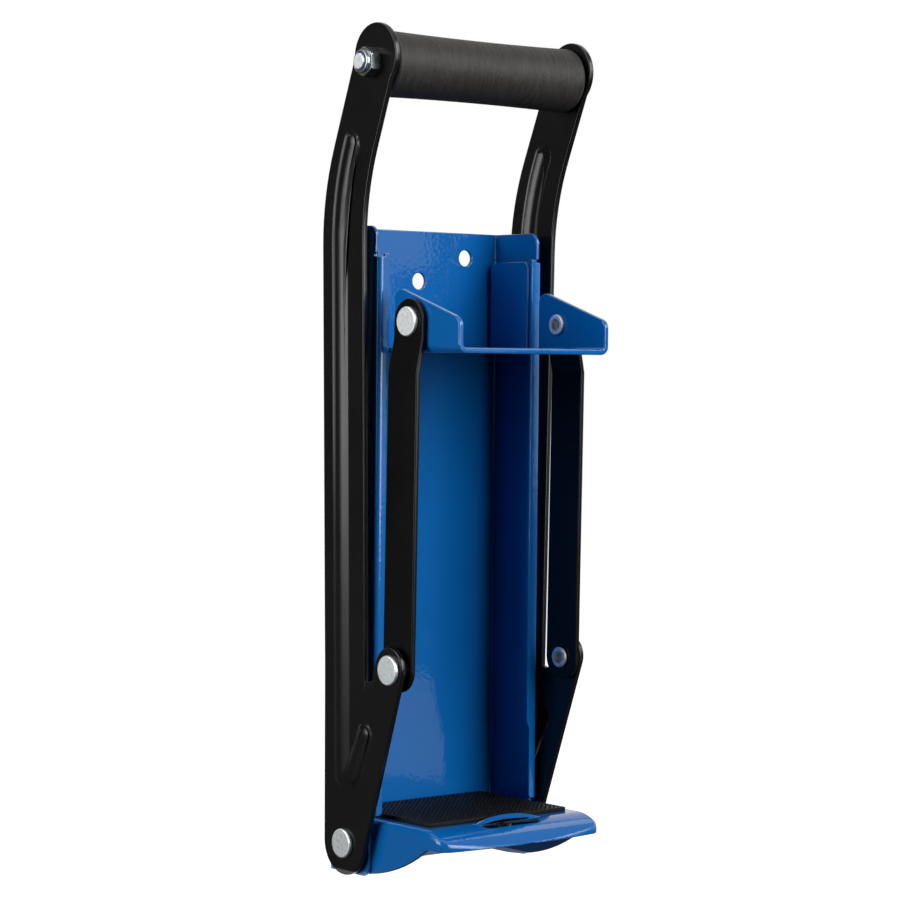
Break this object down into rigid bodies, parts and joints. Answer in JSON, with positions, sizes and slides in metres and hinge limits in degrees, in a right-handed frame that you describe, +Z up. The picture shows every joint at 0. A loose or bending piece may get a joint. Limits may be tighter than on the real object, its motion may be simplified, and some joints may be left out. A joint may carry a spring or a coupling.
{
  "type": "lever can crusher",
  "caption": "Wall-mounted lever can crusher: a bent steel back frame, a press plate that slides on its rails, links and a foam-gripped lever over a padded base.",
  "frame": {"origin": "centre of the middle screw hole, on the wall side of the back plate", "axes": "+Z up along the frame, +Y into the wall, +X to the right seen from the open front; the lever is at rest, upright"},
  "size_m": [0.1104, 0.071, 0.3224],
  "materials": {
    "frame_enamel": "gloss blue powder enamel on sheet steel",
    "arm_coating": "satin black powder coat on pressed steel",
    "zinc_steel": "bright zinc plated steel",
    "pad_rubber": "matt black ribbed rubber",
    "grip_foam": "matt black foam",
    "insert_nylon": "dark blue nylon"
  },
  "bodies": {
    "frame": {"back_frame": "frame_enamel", "base_platform": "frame_enamel", "base_pad": "pad_rubber", "pivot_rivet_left": "zinc_steel", "pivot_rivet_right": "zinc_steel", "pivot_spacer_left": "zinc_steel", "pivot_spacer_right": "zinc_steel"},
    "lever": {"arm_left": "arm_coating", "arm_right": "arm_coating", "grip_sleeve": "grip_foam", "grip_tube": "zinc_steel", "handle_bolt": "zinc_steel", "handle_nut": "zinc_steel", "nut_insert": "insert_nylon", "crank_rivet_left": "zinc_steel", "crank_rivet_right": "zinc_steel"},
    "ram": {"press_plate": "frame_enamel", "ram_rivet_end_left": "zinc_steel", "ram_rivet_end_right": "zinc_steel"},
    "link_left": {"link_left": "arm_coating", "ram_rivet_left": "zinc_steel"},
    "link_right": {"link_right": "arm_coating", "ram_rivet_right": "zinc_steel"}
  },
  "joints": [
    {"name": "lever_pivot", "type": "hinge", "parent": "frame", "child": "lever", "pos_m": [0, -0.0138, -0.2159], "axis": [1, 0, 0], "range_deg": [0, 148]},
    {"name": "ram_slide", "type": "slide", "parent": "frame", "child": "ram", "axis": [0, 0, -1], "range_m": [0, 0.14356]},
    {"name": "crank_pivot_left", "type": "hinge", "parent": "lever", "child": "link_left", "pos_m": [0, -0.0424, -0.1471], "axis": [1, 0, 0], "range_deg": [-140.78, 0]},
    {"name": "crank_pivot_right", "type": "hinge", "parent": "lever", "child": "link_right", "pos_m": [0, -0.0424, -0.1471], "axis": [1, 0, 0], "range_deg": [-140.78, 0]}
  ],
  "couplings": [
    {"joint": "ram_slide", "follows": "lever_pivot", "m_per_rad": 0.055569},
    {"joint": "crank_pivot_left", "follows": "lever_pivot", "ratio": -0.95112},
    {"joint": "crank_pivot_right", "follows": "lever_pivot", "ratio": -0.95112}
  ]
}
